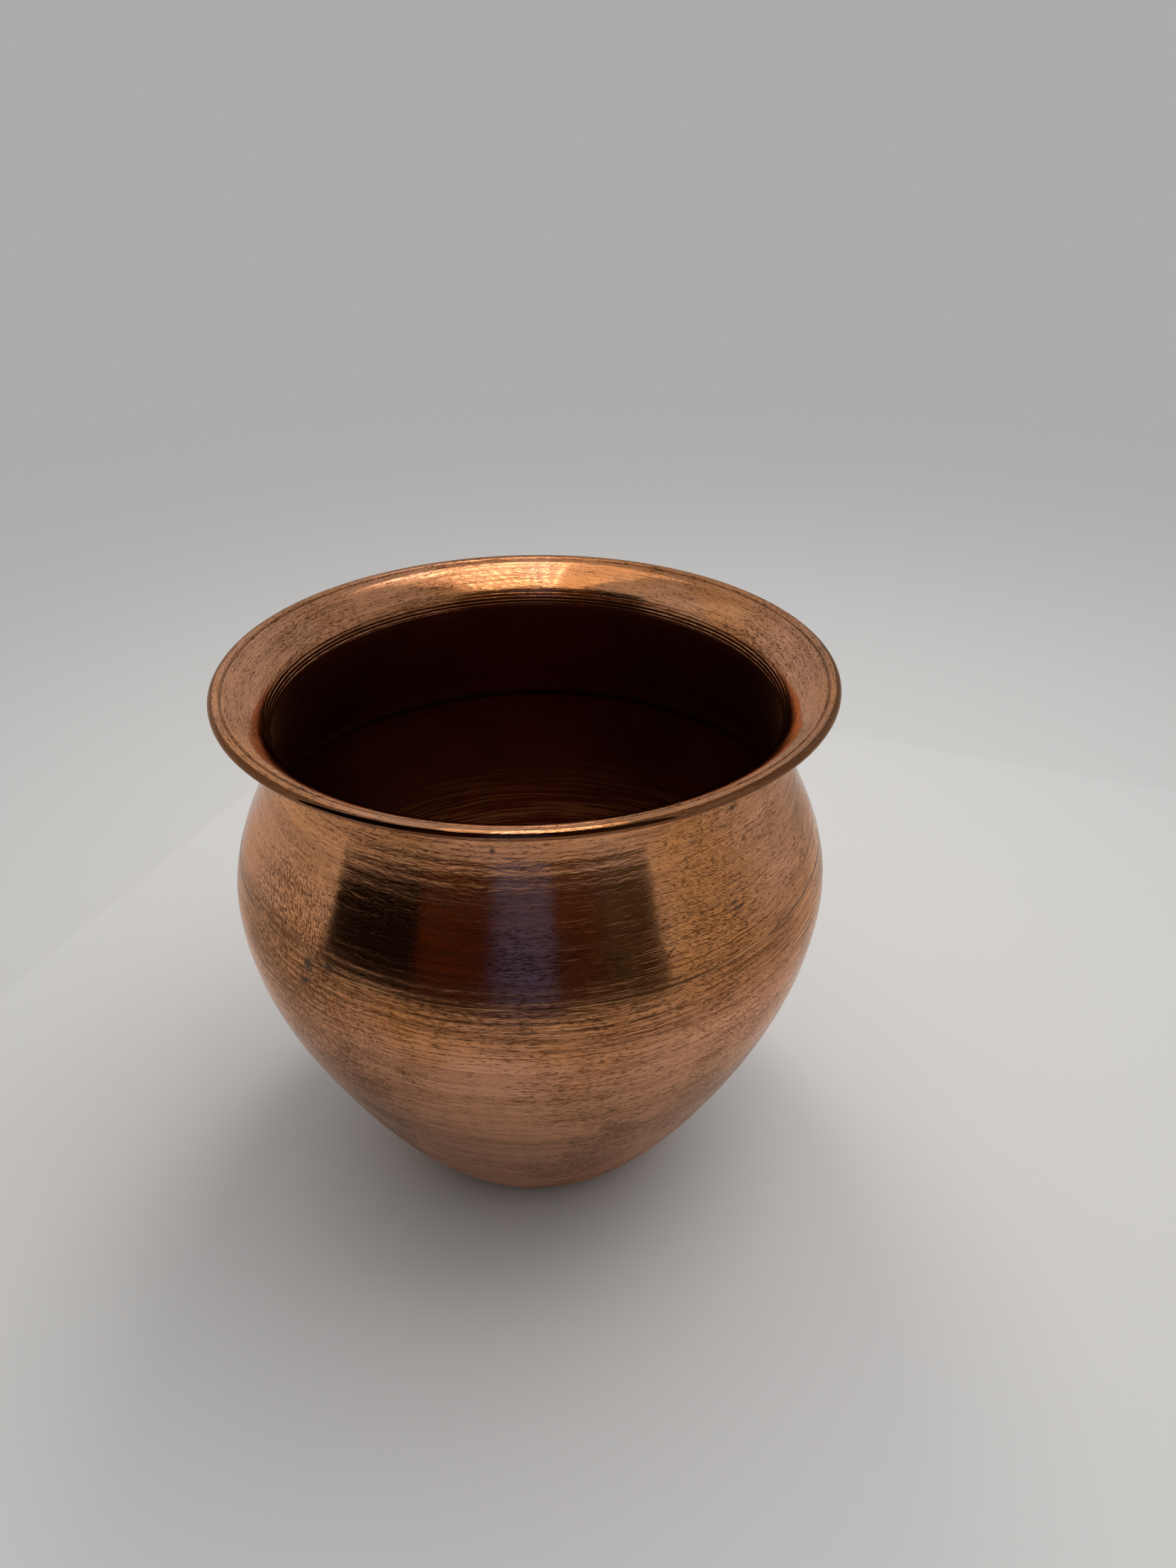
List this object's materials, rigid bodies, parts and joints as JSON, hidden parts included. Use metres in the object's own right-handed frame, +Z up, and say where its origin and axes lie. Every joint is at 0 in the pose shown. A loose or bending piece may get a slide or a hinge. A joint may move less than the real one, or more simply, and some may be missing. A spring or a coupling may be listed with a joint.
{
  "type": "kalash pot",
  "caption": "Small round-bellied copper water pot with a narrow flat foot, a wide shoulder, a short waisted neck and a flared, hemmed mouth; turned from sheet and brazed above the belly.",
  "frame": {"origin": "centre of the flat foot, on the surface that the pot stands on", "axes": "+Z up along the axis that the pot was turned about; X and Y are any two directions across it, with the side seen first towards -Y"},
  "size_m": [0.0856, 0.0856, 0.0836],
  "materials": {
    "copper": null,
    "braze": "yellow braze metal, dressed flush outside and left as a low bead inside"
  },
  "bodies": {
    "root": {"lower_bowl": "copper", "upper_shell": "copper", "seam_braze": "braze"}
  },
  "joints": []
}
